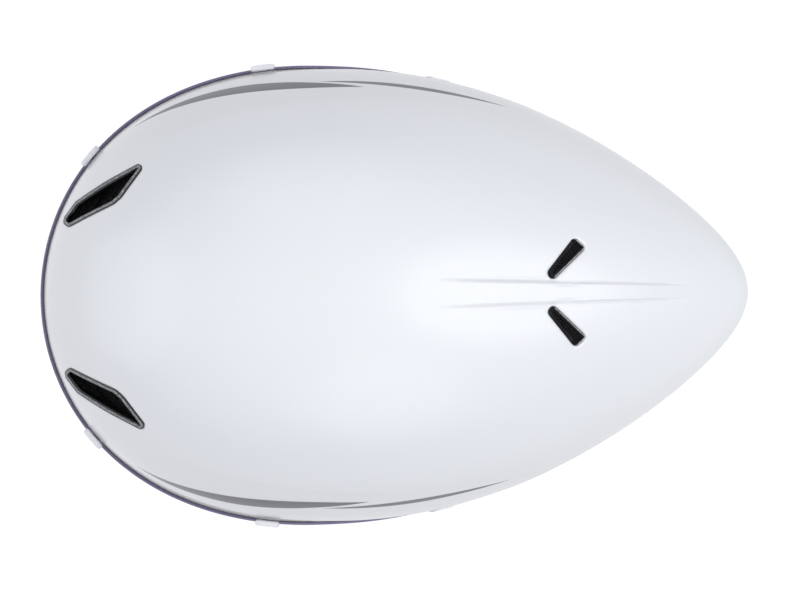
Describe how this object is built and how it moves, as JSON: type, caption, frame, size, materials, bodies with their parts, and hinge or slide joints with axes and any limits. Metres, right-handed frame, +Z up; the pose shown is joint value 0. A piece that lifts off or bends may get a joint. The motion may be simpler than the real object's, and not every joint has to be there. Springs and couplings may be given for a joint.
{
  "type": "time trial helmet",
  "caption": "Long-tailed aero cycling helmet with a wrap visor held by magnets, ear covers, front and rear vents, a dial-tightened cradle and a chin strap with a buckle.",
  "frame": {"origin": "centre of the bounding box in plan, at the level of the flat feet of the ear covers and rear lobes", "axes": "+X towards the tail, the nose points to -X; +Y towards the wearer's right; +Z up through the crown"},
  "size_m": [0.3252, 0.2122, 0.1901],
  "materials": {
    "shell_white": "gloss white polycarbonate",
    "liner_foam": "black expanded polystyrene foam",
    "lens_violet": "violet mirror-tinted polycarbonate",
    "black_plastic": "satin moulded nylon",
    "vent_grey": "grained grey moulding",
    "pod_white": "milky white moulding",
    "magnet_steel": "nickel-plated magnet",
    "pin_steel": "plain steel",
    "seal_rubber": "black rubber",
    "pad_fabric": "brushed knit over soft foam",
    "webbing": "woven polyester webbing"
  },
  "bodies": {
    "helmet": {"outer_shell": "shell_white", "eps_liner": "liner_foam", "front_vent_bezel_right": "vent_grey", "front_vent_bezel_left": "vent_grey", "rear_vent_mesh_right": "black_plastic", "rear_vent_mesh_left": "black_plastic", "tail_underside_cover": "shell_white", "rear_skirt_right": "shell_white", "rear_skirt_left": "shell_white", "ear_cover_right": "black_plastic", "ear_cover_left": "black_plastic", "ear_pad_right": "pad_fabric", "ear_pad_left": "pad_fabric", "shell_magnets": "magnet_steel", "brow_pad": "pad_fabric", "side_pad_right": "pad_fabric", "side_pad_left": "pad_fabric", "crown_pad_center": "pad_fabric", "crown_pad_right": "pad_fabric", "crown_pad_left": "pad_fabric", "arm_pivot_pins": "pin_steel", "strap_anchors": "black_plastic", "strap_front_right": "webbing", "strap_front_left": "webbing", "strap_rear_right": "webbing", "strap_rear_left": "webbing", "strap_divider_right": "black_plastic", "strap_divider_left": "black_plastic", "divider_pins": "pin_steel", "buckle_socket": "black_plastic", "chin_strap_right": "webbing", "chin_strap_left": "webbing", "strap_keeper": "seal_rubber"},
    "visor": {"visor_lens": "lens_violet", "visor_pods_front": "pod_white", "visor_pods_middle": "pod_white", "visor_pods_rear": "pod_white", "visor_magnets": "magnet_steel", "visor_seal": "seal_rubber"},
    "fit_arms": {"fit_arm_right": "black_plastic", "fit_arm_left": "black_plastic"},
    "fit_yoke": {"yoke_frame": "black_plastic", "yoke_cover": "black_plastic", "yoke_pad": "pad_fabric"},
    "fit_dial": {"dial_spool": "black_plastic", "dial_knob": "seal_rubber", "dial_axle": "pin_steel"},
    "buckle": {"buckle_plug": "black_plastic"},
    "lever_right": {"divider_lever_right": "black_plastic"},
    "lever_left": {"divider_lever_left": "black_plastic"}
  },
  "joints": [
    {"name": "visor_pull", "type": "slide", "parent": "helmet", "child": "visor", "axis": [-1, 0, 0], "range_m": [0, 0.2]},
    {"name": "cradle_height", "type": "hinge", "parent": "helmet", "child": "fit_arms", "pos_m": [-0.086, 0, 0.1], "axis": [0, 1, 0], "range_deg": [-2.5, 5]},
    {"name": "cradle_tighten", "type": "slide", "parent": "fit_arms", "child": "fit_yoke", "axis": [-0.9135, 0, 0.4067], "range_m": [0, 0.012]},
    {"name": "dial_turn", "type": "hinge", "parent": "fit_yoke", "child": "fit_dial", "pos_m": [0.068, 0, 0.034], "axis": [-1, 0, 0], "range_deg": [0, 540]},
    {"name": "buckle_release", "type": "slide", "parent": "helmet", "child": "buckle", "axis": [0, 1, 0], "range_m": [0, 0.022], "deforming": ["chin_strap_right"]},
    {"name": "divider_open_right", "type": "hinge", "parent": "helmet", "child": "lever_right", "pos_m": [-0.012, 0.0677, 0.0245], "axis": [-1, 0, 0], "range_deg": [0, 90]},
    {"name": "divider_open_left", "type": "hinge", "parent": "helmet", "child": "lever_left", "pos_m": [-0.012, -0.0677, 0.0245], "axis": [1, 0, 0], "range_deg": [0, 90]}
  ],
  "couplings": [
    {"joint": "dial_turn", "follows": "cradle_tighten", "rad_per_m": 785.39}
  ]
}
